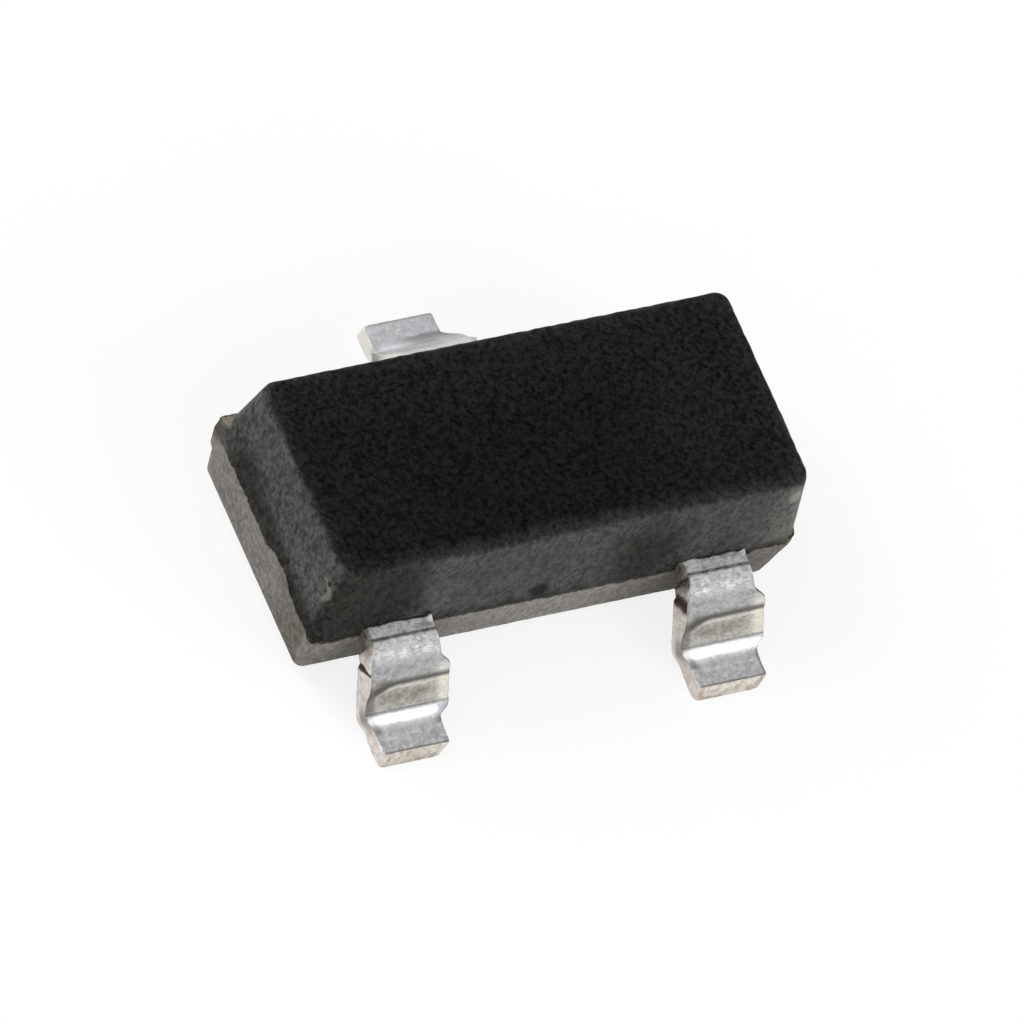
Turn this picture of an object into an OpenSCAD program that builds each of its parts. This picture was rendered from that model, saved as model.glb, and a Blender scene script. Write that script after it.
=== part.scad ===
// Bipolar transistor in a three-lead surface-mount package.
// +X runs along the row of two leads, +Y points to the single lead, +Z is up.
// The origin is under the middle of the body, on the plane that the feet stand on.

/* [Moulded body] */
// Length of the body at its parting line
body_l = 2.94; // [2.75:0.01:3.1]
// Width of the body at its parting line
body_w = 1.36; // [1.2:0.01:1.45]
// Height of the upper half above the parting line
upper_h = 0.53; // [0.42:0.005:0.7]
// Height of the lower half below the parting line
lower_h = 0.32; // [0.2:0.005:0.4]
// Draft of the walls of both halves, in degrees
draft = 7; // [3:0.1:12]
// Radius of the upright corners of the upper half
upper_corner_r = 0.1; // [0.05:0.01:0.2]
// Radius of the upright corners of the lower half
lower_corner_r = 0.05; // [0.02:0.01:0.1]
// Radius of the edge round the top face
top_edge_r = 0.03; // [0.01:0.005:0.06]
// Radius of the edge round the underside
under_edge_r = 0.015; // [0.01:0.005:0.04]
// Gap from the feet's plane to the underside of the body
standoff = 0.09; // [0.05:0.005:0.15]
// Width of the stub at the rear left corner, where the plastic was broken off the mould's gate
gate_w = 0.12; // [0.06:0.01:0.2]
// Height of that stub above the parting line
gate_h = 0.12; // [0.04:0.01:0.2]

/* [Leads] */
// Thickness of the lead frame
lead_t = 0.105; // [0.08:0.005:0.15]
// Distance across the package from foot tip to foot tip
lead_span = 2.5; // [2.4:0.01:2.7]
// Distance between the two front leads
lead_pitch = 1.9; // [1.8:0.01:1.95]
// How far the lead frame lies below the parting line
lead_sink = 0.05; // [0.02:0.005:0.08]
// Width of a lead where it leaves the body
neck_w = 0.385; // [0.3:0.005:0.44]
// Width of a leg where the tie bars between the leads were cut off
tie_w = 0.495; // [0.45:0.005:0.56]
// Width of a foot
foot_w = 0.4; // [0.3:0.005:0.44]
// Length of the flat end of a foot
foot_l = 0.075; // [0.05:0.005:0.12]
// Inner radius of the bend at the shoulder
shoulder_r = 0.075; // [0.04:0.005:0.09]
// Inner radius of the bend at the heel
heel_r = 0.165; // [0.1:0.005:0.2]
// Lean of a leg away from upright, in degrees
leg_lean = 34; // [25:1:40]
// How far round the shoulder a leg begins to widen, in degrees
widen_turn = 38; // [20:1:45]
// How far round the heel a leg has narrowed to the foot, in degrees
narrow_turn = 38; // [20:1:45]

/* [Lead frame inside the body] */
// Length of the paddle along the body
paddle_l = 1; // [0.8:0.01:1.04]
// Width of the paddle across the body
paddle_w = 0.64; // [0.56:0.01:0.68]
// Length of a bonding post along the body
post_l = 0.62; // [0.5:0.01:0.64]
// Width of a bonding post across the body
post_w = 0.3; // [0.2:0.01:0.34]
// Gap between the paddle and a bonding post
post_gap = 0.1; // [0.08:0.01:0.14]
// Plastic between a bonding post and the body's long side
post_cover = 0.15; // [0.12:0.01:0.2]
// Depth of the locking notches in the lead frame's edges
notch_d = 0.05; // [0.02:0.01:0.08]
// Length of the locking notches
notch_l = 0.1; // [0.06:0.01:0.14]

/* [Chip and wires] */
// Side of the square chip
die_l = 0.38; // [0.28:0.01:0.46]
// Thickness of the chip
die_t = 0.12; // [0.08:0.005:0.16]
// Thickness of the glue under the chip
attach_t = 0.015; // [0.01:0.001:0.03]
// Rim of glue that shows round the chip
attach_rim = 0.02; // [0.01:0.005:0.04]
// Side of a square bond pad on the chip
pad_l = 0.1; // [0.08:0.005:0.12]
// Height of a bond pad above the chip's face
pad_t = 0.005; // [0.004:0.001:0.01]
// Gap from a bond pad to the chip's edge
pad_inset = 0.04; // [0.02:0.005:0.06]
// Diameter of a bond wire
wire_d = 0.03; // [0.02:0.001:0.04]
// Diameter of the ball at the chip end of a wire
ball_d = 0.08; // [0.06:0.005:0.1]
// Height of the squashed ball
ball_h = 0.02; // [0.012:0.001:0.03]
// Rise of a wire's control point above its ball, which sets the height of the loop
loop_h = 0.25; // [0.15:0.01:0.3]
// Length of wire pressed flat on the post
stitch_l = 0.06; // [0.04:0.01:0.1]

/* [Hidden] */

// Heights, from the feet's plane up
parting_z = standoff + lower_h;
lead_low = parting_z - lead_sink;
lead_top = lead_low + lead_t;
lead_mid = lead_low + lead_t / 2;
foot_mid = lead_t / 2;
attach_top = lead_top + attach_t;
die_top = attach_top + die_t;
pad_top = die_top + pad_t;

// Side view of a lead: bend centres, with the first number measured outwards from the middle
turn = 90 - leg_lean;
both_r = shoulder_r + heel_r + lead_t;
leg_drop = lead_mid - foot_mid - both_r * (1 - cos(turn));
foot_start = lead_span / 2 - foot_l;
shoulder_end = foot_start - both_r * sin(turn) - leg_drop / tan(turn);
shoulder_c = [shoulder_end, lead_low - shoulder_r];
heel_c = [foot_start, lead_t + heel_r];

// Plan of the lead frame inside the body
paddle_front = -paddle_w / 2 - (paddle_w - die_l) / 8;
paddle_back = paddle_front + paddle_w;
die_y = (paddle_front + paddle_back) / 2;
post_in = paddle_l / 2 + post_gap;
post_out_y = body_w / 2 - post_cover;
post_mid = [post_in + post_l / 2, post_out_y - post_w / 2];
plate_r = 0.03;

// Ends of the wires, for the base side; the emitter side is its mirror image
pad_x = -(die_l / 2 - pad_inset - pad_l / 2);
pad_y = die_y - die_l / 2 + pad_inset + pad_l / 2;
stitch_at = [-(post_in + 0.3 * post_l), -post_mid[1]];
wire_r = wire_d / 2;
wire_flat = wire_r * cos(22.5);
wire_steps = 14;
slice_t = 0.001;

// Point on a circle at an angle
function on_circle(c, r, a) = c + r * [cos(a), sin(a)];

// One closed skin through a list of rings that all have the same number of points
module ring_skin(rings) {
    n = len(rings);
    m = len(rings[0]);
    points = [for (ring = rings) each ring];
    walls = [for (i = [0:n - 2]) for (k = [0:m - 1])
        let (a = m * i + k, b = m * i + (k + 1) % m)
        each [[a, b, b + m], [a, b + m, a + m]]];
    near = [for (k = [m - 1:-1:0]) k];
    far = [for (k = [0:m - 1]) m * (n - 1) + k];
    polyhedron(points, concat([near], walls, [far]));
}

// Four corners of a lead's section, w wide, from the points of its upper and lower face in side view
function section(upper, lower, w) = [
    [w / 2, upper[0], upper[1]],
    [-w / 2, upper[0], upper[1]],
    [-w / 2, lower[0], lower[1]],
    [w / 2, lower[0], lower[1]]
];
function shoulder_section(a, w) =
    section(on_circle(shoulder_c, shoulder_r + lead_t, a), on_circle(shoulder_c, shoulder_r, a), w);
function heel_section(a, w) =
    section(on_circle(heel_c, heel_r, a), on_circle(heel_c, heel_r + lead_t, a), w);

// Step i of n on the way from a to b
function step(a, b, i, n) = a + (b - a) * i / n;

// Sections round the shoulder and round the heel, from the angle a to b, while the width goes from w0 to w1
function shoulder_run(a, b, w0, w1, n) =
    [for (i = [0:n]) shoulder_section(step(a, b, i, n), step(w0, w1, i, n))];
function heel_run(a, b, w0, w1, n) =
    [for (i = [0:n]) heel_section(step(a, b, i, n), step(w0, w1, i, n))];

// All but the first of a list
function rest_of(list) = [for (i = [1:len(list) - 1]) list[i]];

// The part of a lead outside the body, with its inner end at the distance y_in from the middle
module formed_leg(y_in) {
    ring_skin(concat(
        [section([y_in, lead_top], [y_in, lead_low], neck_w)],
        shoulder_run(90, 90 - widen_turn, neck_w, neck_w, 6),
        rest_of(shoulder_run(90 - widen_turn, 90 - turn, neck_w, tie_w, 3)),
        heel_run(270 - turn, 270 - turn + narrow_turn, tie_w, foot_w, 8),
        rest_of(heel_run(270 - turn + narrow_turn, 270, foot_w, foot_w, 4)),
        [section([lead_span / 2, lead_t], [lead_span / 2, 0], foot_w)]
    ));
}

// A flat part of the lead frame, from its plan
module frame_plate() {
    translate([0, 0, lead_low]) linear_extrude(height = lead_t) children();
}

// Rectangle with small round corners, centred
module soft_rect(l, w, r) {
    offset(r = r, $fn = 24) square([l - 2 * r, w - 2 * r], center = true);
}

// Plan of the bonding post of the base lead, with a notch in each end that locks it in the plastic
module post_plan() {
    translate([-post_mid[0], -post_mid[1]]) difference() {
        soft_rect(post_l, post_w, plate_r);
        for (side = [-1, 1])
            translate([side * post_l / 2, 0]) square([2 * notch_d, notch_l], center = true);
    }
}

// Plan of the paddle, with a notch in each end
module paddle_plan() {
    translate([0, die_y]) difference() {
        soft_rect(paddle_l, paddle_w, plate_r);
        for (side = [-1, 1])
            translate([side * paddle_l / 2, 0]) square([2 * notch_d, notch_l], center = true);
    }
}

// The base lead; the emitter lead is its mirror image
module front_lead_solid() {
    frame_plate() post_plan();
    translate([-lead_pitch / 2, 0, 0]) mirror([0, 1, 0]) formed_leg(post_out_y - plate_r);
}

module rear_lead_solid() {
    frame_plate() paddle_plan();
    formed_leg(paddle_back - plate_r);
}

// The stretch of a lead frame that the plastic closes round, without the bends
module frame_in_plastic() {
    frame_plate() {
        post_plan();
        mirror([1, 0]) post_plan();
        paddle_plan();
        for (side = [-1, 1])
            translate([side * lead_pitch / 2 - neck_w / 2, -body_w])
                square([neck_w, body_w - post_out_y + plate_r]);
        translate([-neck_w / 2, paddle_back - plate_r]) square([neck_w, body_w]);
    }
}

module die_solid() {
    translate([-die_l / 2, die_y - die_l / 2, attach_top]) cube([die_l, die_l, die_t]);
    for (side = [-1, 1])
        translate([side * pad_x - pad_l / 2, pad_y - pad_l / 2, die_top]) cube([pad_l, pad_l, pad_t]);
}

module attach_solid() {
    side = die_l + 2 * attach_rim;
    translate([-side / 2, die_y - side / 2, lead_top]) cube([side, side, attach_t]);
}

// Cubic curve through the control points p at t, and its direction
function bezier(p, t) =
    pow(1 - t, 3) * p[0] + 3 * pow(1 - t, 2) * t * p[1] + 3 * (1 - t) * t * t * p[2] + pow(t, 3) * p[3];
function bezier_way(p, t) =
    pow(1 - t, 2) * (p[1] - p[0]) + 2 * (1 - t) * t * (p[2] - p[1]) + t * t * (p[3] - p[2]);

// Eight points round c, in the plane across the direction way; side is level and across the wire
function wire_ring(c, way, side, r) =
    let (w = way / norm(way), up = cross(side, w))
    [for (k = [0:7]) c + r * (cos(22.5 + 45 * k) * side + sin(22.5 + 45 * k) * up)];

// Bond wire on the base side: squashed ball on the pad, loop, and a flat stitch on the post
module wire_solid() {
    start = [pad_x, pad_y];
    run = norm(stitch_at - start);
    level = [stitch_at[0] - start[0], stitch_at[1] - start[1], 0] / run;
    side = cross([0, 0, 1], level);
    foot = [start[0], start[1], pad_top];
    up = [0, 0, 1];
    neck = foot + ball_h * up;
    rest = [stitch_at[0], stitch_at[1], lead_top + wire_flat];
    p = [neck, neck + loop_h * up, rest - 0.15 * run * level, rest];
    ball = [
        wire_ring(foot, up, side, 0.85 * ball_d / 2),
        wire_ring(foot + 0.4 * ball_h * up, up, side, ball_d / 2),
        wire_ring(foot + 0.85 * ball_h * up, up, side, 0.8 * ball_d / 2)
    ];
    loop = [for (i = [0:wire_steps])
        wire_ring(bezier(p, i / wire_steps), bezier_way(p, i / wire_steps), side, wire_r)];
    stitch = [wire_ring(rest + stitch_l * level, level, side, wire_r)];
    ring_skin(concat(ball, loop, stitch));
}

// Outline of the body at a distance inside its parting outline
module body_slice(inset, z, corner_r) {
    translate([0, 0, z]) linear_extrude(height = slice_t)
        soft_rect(body_l - 2 * inset, body_w - 2 * inset, corner_r);
}

// One drafted half, standing on the plane z = 0, with its far edge rounded
module body_half(h, corner_r, edge_r) {
    hull() {
        body_slice(0, 0, corner_r);
        for (a = [0:22.5:90])
            body_slice((h - edge_r) * tan(draft) + edge_r * (1 - cos(a)),
                h - slice_t - edge_r * (1 - sin(a)), corner_r);
    }
}

// Upright stub left at the gate, a hair inside the parting outline and rooted just below z = 0
module gate_stub() {
    translate([0, 0, -slice_t]) linear_extrude(height = gate_h + slice_t) intersection() {
        soft_rect(body_l - 2 * slice_t, body_w - 2 * slice_t, lower_corner_r);
        translate([-body_l / 2, body_w / 2 - gate_w]) square(gate_w);
    }
}

module moulded_body() {
    color("#2b2a2b") difference() {
        translate([0, 0, parting_z]) union() {
            body_half(upper_h, upper_corner_r, top_edge_r);
            mirror([0, 0, 1]) body_half(lower_h, lower_corner_r, under_edge_r);
            gate_stub();
        }
        frame_in_plastic();
        attach_solid();
        die_solid();
        wire_solid();
        mirror([1, 0, 0]) wire_solid();
    }
}

module base_lead() {
    color("#c3c2bf") front_lead_solid();
}

module emitter_lead() {
    color("#c3c2bf") mirror([1, 0, 0]) front_lead_solid();
}

module collector_lead() {
    color("#c3c2bf") rear_lead_solid();
}

module silicon_die() {
    color("#59616d") die_solid();
}

module die_attach() {
    color("#b4b2ad") attach_solid();
}

module base_bond_wire() {
    color("#d2a63c") wire_solid();
}

module emitter_bond_wire() {
    color("#d2a63c") mirror([1, 0, 0]) wire_solid();
}

moulded_body();
base_lead();
emitter_lead();
collector_lead();
silicon_die();
die_attach();
base_bond_wire();
emitter_bond_wire();
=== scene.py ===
"""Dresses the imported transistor: moulded body, formed leads, chip, studio and camera.

Lengths are in millimetres until a mesh is made.
"""
import math

import bmesh
import bpy
from mathutils import Matrix, Vector, noise


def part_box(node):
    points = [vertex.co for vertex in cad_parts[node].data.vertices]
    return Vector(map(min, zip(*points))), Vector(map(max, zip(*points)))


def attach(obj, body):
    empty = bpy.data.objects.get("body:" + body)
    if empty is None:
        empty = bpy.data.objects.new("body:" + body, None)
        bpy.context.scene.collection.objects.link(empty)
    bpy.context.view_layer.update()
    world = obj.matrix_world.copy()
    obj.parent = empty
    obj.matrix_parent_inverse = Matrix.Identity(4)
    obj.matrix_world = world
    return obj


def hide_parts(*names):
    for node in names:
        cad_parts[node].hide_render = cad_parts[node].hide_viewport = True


MM = 0.001

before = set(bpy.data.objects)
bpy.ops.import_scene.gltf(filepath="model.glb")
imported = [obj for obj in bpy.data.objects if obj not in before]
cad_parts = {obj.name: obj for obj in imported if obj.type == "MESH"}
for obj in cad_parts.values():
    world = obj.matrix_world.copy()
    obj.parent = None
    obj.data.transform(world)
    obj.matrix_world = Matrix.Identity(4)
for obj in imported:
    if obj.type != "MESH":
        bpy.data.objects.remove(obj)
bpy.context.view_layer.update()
scene = bpy.context.scene

# The moulded body
body_low, body_high = [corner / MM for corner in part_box("moulded_body")]
HALF_L = body_high.x
HALF_W = body_high.y
UNDERSIDE = body_low.z
TOP = body_high.z
UPPER_H = 0.53
PARTING = TOP - UPPER_H
LOWER_H = PARTING - UNDERSIDE
DRAFT = math.tan(math.radians(7))
UPPER_CORNER_R = 0.10
LOWER_CORNER_R = 0.05
TOP_EDGE_R = 0.03
UNDER_EDGE_R = 0.015

# The leads
LEAD_T = 0.105
LEAD_LOW = PARTING - 0.05
LEAD_SPAN = 2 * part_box("collector_lead")[1].y / MM
LEAD_PITCH = 1.90
FOOT_L = 0.075
SHOULDER_R = 0.075
HEEL_R = 0.165
TURN = math.radians(90 - 34)
CUT_Y = 0.60


def smooth(a, b, x):
    """0 on the side of a and 1 on the side of b, with a soft step between them."""
    t = min(1.0, max(0.0, (x - a) / (b - a)))
    return t * t * (3 - 2 * t)


def hump(centre, half, x):
    """A soft hump of height 1 round centre."""
    return math.exp(-((x - centre) / half) ** 2)


def grain(x, y, z, size, seed):
    """Smooth noise from -1 to 1, with grains of about that size."""
    return noise.noise(Vector((x / size + 7 * seed, y / size - 5 * seed, z / size + 3 * seed)))


# Meshes

def mesh_object(name, points, faces, materials, slots=None, marks=None):
    """A smooth-shaded object from points in millimetres; slots gives each face's material.

    marks holds named lists with a number for each point, which the materials read.
    """
    mesh = bpy.data.meshes.new(name)
    mesh.from_pydata([Vector(p) * MM for p in points], [], faces)
    for mark, values in (marks or {}).items():
        mesh.attributes.new(mark, "FLOAT", "POINT").data.foreach_set("value", values)
    for material in materials:
        mesh.materials.append(material)
    for index, polygon in enumerate(mesh.polygons):
        polygon.use_smooth = True
        polygon.material_index = slots[index] if slots else 0
    mesh.update()
    obj = bpy.data.objects.new(name, mesh)
    scene.collection.objects.link(obj)
    return obj


def ring_faces(rings, count):
    """Quads between successive rings of count points, outward where the rings turn left round their way."""
    faces = []
    for low in range(0, (rings - 1) * count, count):
        for k in range(count):
            n = (k + 1) % count
            faces.append((low + k, low + n, low + count + n, low + count + k))
    return faces


def displace(obj, depth):
    """Moves each point along its normal by depth(place, normal), in millimetres."""
    mesh = obj.data
    moves = [v.normal * depth(v.co / MM, v.normal) * MM for v in mesh.vertices]
    for vertex, move in zip(mesh.vertices, moves):
        vertex.co += move
    mesh.update()


# Body

# Corners of the outline, from the front right one on
CORNERS = ((1, -1), (1, 1), (-1, 1), (-1, -1))
WORN_CORNER = 0
SHARP_CORNER = 1
STUB_CORNER = 2

# Radius of the worn corner below and above the parting line, and of the sharp one above it
WORN_CORNER_R = (0.091, 0.106)
SHARP_CORNER_R = 0.07

# The stub of the gate stands straight up on its corner, and its end is broken off at a slant
STUB_W = 0.12
STUB_H = 0.124
STUB_CORNER_R = 0.010
STUB_EDGE = 0.008
STUB_BREAK = 0.026

# The upper half starts a little inside the lower one, and its right end leans out a little
LEDGE = 0.001
RIGHT_LEAN = 0.006
TOP_INSET = LEDGE + (UPPER_H - TOP_EDGE_R) * DRAFT + TOP_EDGE_R

# The mesh: steps round the corners and over the edges, and rings close to the parting line and on the flats
ROUND_GRID = 0.010
UP_GRID = 0.017
CORNER_STEPS = 12
UNDER_EDGE_STEPS = 4
TOP_EDGE_STEPS = 7
NEAR_PARTING = (0.003, 0.008, 0.014, 0.022, 0.032, 0.044)
UNDER_INSETS = (0.3, 0.1, 0.03)
TOP_INSETS = (0.02, 0.06, 0.14, 0.3)


def outline_ring(inset, radii):
    """Points round the body when its outline is drawn in by inset, from the front right corner on."""
    arcs = []
    for quarter, (sx, sy) in enumerate(CORNERS):
        r = radii[quarter]
        cx, cy = sx * (HALF_L - inset - r), sy * (HALF_W - inset - r)
        arc = []
        for i in range(CORNER_STEPS + 1):
            a = math.pi / 2 * (quarter - 1 + i / CORNER_STEPS)
            arc.append((cx + r * math.cos(a), cy + r * math.sin(a)))
        arcs.append(arc)
    ring = []
    for quarter, arc in enumerate(arcs):
        ring += arc
        (x0, y0), (x1, y1) = arc[-1], arcs[(quarter + 1) % 4][0]
        count = round((2 * HALF_W if quarter % 2 == 0 else 2 * HALF_L) / ROUND_GRID)
        ring += [(x0 + (x1 - x0) * i / count, y0 + (y1 - y0) * i / count) for i in range(1, count)]
    return ring


def even_steps(a, b, step):
    """Numbers from a to b, both left out, about a step apart."""
    count = round(abs(b - a) / step)
    return [a + (b - a) * i / count for i in range(1, count)]


def body_levels():
    """(inset, height above the parting plane, corner radius) of each ring, from the underside up."""
    low_wall = LOWER_H - UNDER_EDGE_R
    high_wall = UPPER_H - TOP_EDGE_R
    inner = low_wall * DRAFT + UNDER_EDGE_R
    levels = [(inner + d, -LOWER_H, LOWER_CORNER_R) for d in UNDER_INSETS]
    for i in range(UNDER_EDGE_STEPS + 1):
        a = math.pi / 2 * i / UNDER_EDGE_STEPS
        level = -LOWER_H + UNDER_EDGE_R * (1 - math.cos(a))
        levels.append((inner - UNDER_EDGE_R * math.sin(a), level, LOWER_CORNER_R))
    depths = even_steps(low_wall, NEAR_PARTING[-1], UP_GRID) + list(reversed(NEAR_PARTING))
    levels += [(d * DRAFT, -d, LOWER_CORNER_R) for d in depths]
    levels.append((0.0, 0.0, LOWER_CORNER_R))
    stub_ends = [STUB_H - STUB_EDGE, STUB_H + STUB_EDGE]
    heights = list(NEAR_PARTING) + even_steps(NEAR_PARTING[-1], stub_ends[0], UP_GRID)
    heights += stub_ends + even_steps(stub_ends[1], high_wall, UP_GRID)
    levels += [(LEDGE + d * DRAFT, d, UPPER_CORNER_R) for d in heights]
    for i in range(TOP_EDGE_STEPS + 1):
        a = math.pi / 2 * i / TOP_EDGE_STEPS
        inset = LEDGE + high_wall * DRAFT + TOP_EDGE_R * (1 - math.cos(a))
        levels.append((inset, UPPER_H - TOP_EDGE_R * (1 - math.sin(a)), UPPER_CORNER_R))
    levels += [(levels[-1][0] + d, UPPER_H, UPPER_CORNER_R) for d in TOP_INSETS]
    return levels


def parting_rise(x, y):
    """How far the ragged parting line stands above its plane; the left end has a tongue of flash."""
    left_end = smooth(-HALF_L + 0.09, -HALF_L + 0.05, x)
    ragged = 0.008 * grain(x, y, 0, 0.09, 5) + 0.012 * grain(x, y, 0, 0.035, 6)
    tongue = 0.044 * smooth(-0.06, -0.15, y) * smooth(-0.41, -0.28, y)
    return ragged + left_end * (0.018 + tongue)


# Marks on the left end and at the right corner
PIT_PLACE, PIT_SIZE, PIT_DEPTH = (-0.541, 0.781), (0.015, 0.016), 0.007
CHIP_PLACE, CHIP_SIZE, CHIP_RISE = (-0.575, 0.705), (0.018, 0.040), 0.006
NUB_INSET, NUB_SIZE, NUB_RISE = 0.025, 0.042, 0.018


def end_mark(place, size, y, z):
    """A soft mark of height 1 on the left end, round a place given as (y, z)."""
    return hump(place[0], size[0], y) * hump(place[1], size[1], z)


def body_relief(place, normal):
    """Unevenness of the moulding: its skin, the flash along the parting line and a few marks."""
    x, y, z = place
    wall = 1 - abs(normal.z)
    above = z - PARTING
    depth = 0.0012 * grain(x, y, z, 0.11, 1) + 0.0009 * grain(x, y, z, 0.035, 2)
    depth += 0.003 * grain(x, y, z, 0.05, 7) * hump(TOP - 0.012, 0.022, z)
    depth += hump(0.0, 0.008, above) * wall * 0.004 * grain(x, y, z, 0.05, 3)
    left_end = smooth(-HALF_L + 0.08, -HALF_L + 0.05, x) * wall
    depth -= 0.005 * left_end * hump(0.10, 0.06, above)
    depth -= PIT_DEPTH * left_end * end_mark(PIT_PLACE, PIT_SIZE, y, z)
    depth += CHIP_RISE * left_end * end_mark(CHIP_PLACE, CHIP_SIZE, y, z)
    nub = hump(0.0, NUB_SIZE, math.hypot(x - HALF_L + NUB_INSET, y + HALF_W - NUB_INSET))
    depth += NUB_RISE * nub * smooth(0.015, 0.045, above) * smooth(0.078, 0.052, above)
    return depth


def corner_radii(above, radius, stub):
    """Radius of each corner of a ring: one corner is worn, one sharp, and one holds the gate's stub."""
    radii = [radius] * 4
    radii[WORN_CORNER] = WORN_CORNER_R[above > 0]
    if above > 0:
        radii[SHARP_CORNER] = SHARP_CORNER_R
    radii[STUB_CORNER] += (STUB_CORNER_R - radius) * stub
    return radii


def make_body(material):
    """The body, with above for each point: its height over the parting plane and then its way in on top."""
    points, marks = [], []
    levels = body_levels()
    for inset, above, radius in levels:
        on_top = max(0.0, inset - TOP_INSET) if above > 0 else 0.0
        stub = smooth(STUB_H + STUB_EDGE, STUB_H - STUB_EDGE, abs(above))
        radii = corner_radii(above, radius, stub)
        stub *= above > 0
        near = smooth(0.14, 0.02, abs(above))
        for x, y in outline_ring(inset, radii):
            from_corner = max(HALF_L + x, HALF_W - y)
            push = stub * inset * smooth(STUB_W + 0.03, STUB_W - 0.03, from_corner)
            broken = stub * STUB_BREAK * smooth(0.035, STUB_H, above) * smooth(0.050, -0.010, from_corner)
            rise = near * parting_rise(x, y) - broken
            lean = RIGHT_LEAN * smooth(0.0, UPPER_H, above) * smooth(-0.55, -0.15, y)
            lean *= smooth(HALF_L - 0.30, HALF_L - 0.15, x)
            points.append((x - push + lean, y + push, PARTING + above + rise))
            marks.append(above + on_top)
    count = len(points) // len(levels)
    faces = ring_faces(len(levels), count)
    faces.append(tuple(range(count - 1, -1, -1)))
    faces.append(tuple((len(levels) - 1) * count + k for k in range(count)))
    body = mesh_object("body_moulding", points, faces, [material], marks={"above": marks})
    displace(body, body_relief)
    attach(body, "root")
    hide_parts("moulded_body")


# Leads

LEAD_MID = LEAD_LOW + LEAD_T / 2
LEG_DROP = LEAD_MID - LEAD_T / 2 - (SHOULDER_R + HEEL_R + LEAD_T) * (1 - math.cos(TURN))
FOOT_START = LEAD_SPAN / 2 - FOOT_L
SHOULDER_END = FOOT_START - (SHOULDER_R + HEEL_R + LEAD_T) * math.sin(TURN) - LEG_DROP / math.tan(TURN)
SHOULDER_MID_R = SHOULDER_R + LEAD_T / 2
HEEL_MID_R = HEEL_R + LEAD_T / 2

# Distances along the middle of the strip, from where the loft starts
S_SHOULDER = SHOULDER_END - CUT_Y
S_LEG = S_SHOULDER + SHOULDER_MID_R * TURN
S_HEEL = S_LEG + LEG_DROP / math.sin(TURN)
S_FOOT = S_HEEL + HEEL_MID_R * TURN
S_TIP = S_FOOT + FOOT_L


def strip_place(s):
    """Middle of the strip at the distance s as (outward, up), and the way its upper side faces."""
    if s <= S_SHOULDER:
        return (CUT_Y + s, LEAD_MID), (0.0, 1.0)
    if s <= S_LEG:
        a = (s - S_SHOULDER) / SHOULDER_MID_R
        n = (math.sin(a), math.cos(a))
        return (SHOULDER_END + SHOULDER_MID_R * n[0], LEAD_MID - SHOULDER_MID_R * (1 - n[1])), n
    a = TURN if s <= S_HEEL else max(0.0, TURN - (s - S_HEEL) / HEEL_MID_R)
    n = (math.sin(a), math.cos(a))
    y = FOOT_START - HEEL_MID_R * n[0]
    z = LEAD_T / 2 + HEEL_MID_R * (1 - n[1])
    back = max(0.0, S_HEEL - s)
    ahead = max(0.0, s - S_FOOT)
    return (y - back * math.cos(TURN) + ahead, z + back * math.sin(TURN)), n


FRONT, REAR = -1, 1
LOWER, UPPER = 0, 1

# How far the strip reaches to the left at its lower and upper side: at the collar, the neck and the leg
LEFT_COLLAR = (0.215, 0.222)
LEFT_NECK = (0.252, 0.202)
LEFT_LEG = (0.252, 0.236)
LEFT_TURNS = (((0.14, 0.19), (0.19, 0.25), (0.26, 0.29)), ((0.140, 0.165), (0.18, 0.255), (0.36, 0.50)))

# How far each lead reaches to a side at its neck, at the stub of its tie bar and at its foot, and the
# places along the strip where its width changes
FRONT_LEFT = dict(tie=0.262, foot=0.222, narrow_from=0.565, narrow_to=0.66)
REAR_LEFT = dict(tie=0.255, foot=0.226, narrow_from=0.58, narrow_to=0.66)
BASE_RIGHT = dict(neck=0.187, tie=0.243, foot=0.186,
                  widen_from=0.245, widen_to=0.32, narrow_from=0.555, narrow_to=0.64)
EMITTER_RIGHT = dict(neck=0.177, tie=0.244, foot=0.199,
                     widen_from=0.245, widen_to=0.32, narrow_from=0.55, narrow_to=0.63)
COLLECTOR_RIGHT = dict(neck=0.200, tie=0.300, foot=0.200,
                       widen_from=0.28, widen_to=0.44, narrow_from=0.58, narrow_to=0.68)


def left_reach(s, level, tie, foot, narrow_from, narrow_to):
    """How far the strip reaches to the left; its cut edge flares downwards beside the shoulder."""
    widths = (LEFT_COLLAR[level], LEFT_NECK[level], LEFT_LEG[level], tie)
    reach = widths[0]
    for (start, end), before, after in zip(LEFT_TURNS[level], widths, widths[1:]):
        reach += (after - before) * smooth(start, end, s)
    return reach + (foot - reach) * smooth(narrow_from, narrow_to, s)


def right_reach(s, neck, tie, foot, widen_from, widen_to, narrow_from, narrow_to):
    """How far the strip reaches to the right; a bar between the leads was cut off past the shoulder."""
    reach = neck + (tie - neck) * smooth(widen_from, widen_to, s)
    return reach + (foot - reach) * smooth(narrow_from, narrow_to, s)


# Radius of the strip's upper and lower edges, and the steps of its section
TOP_ROUND = 0.014
BURR_ROUND = 0.006
ACROSS_STEPS = 24
ROUND_STEPS = 4
SIDE_STEPS = 5


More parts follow.
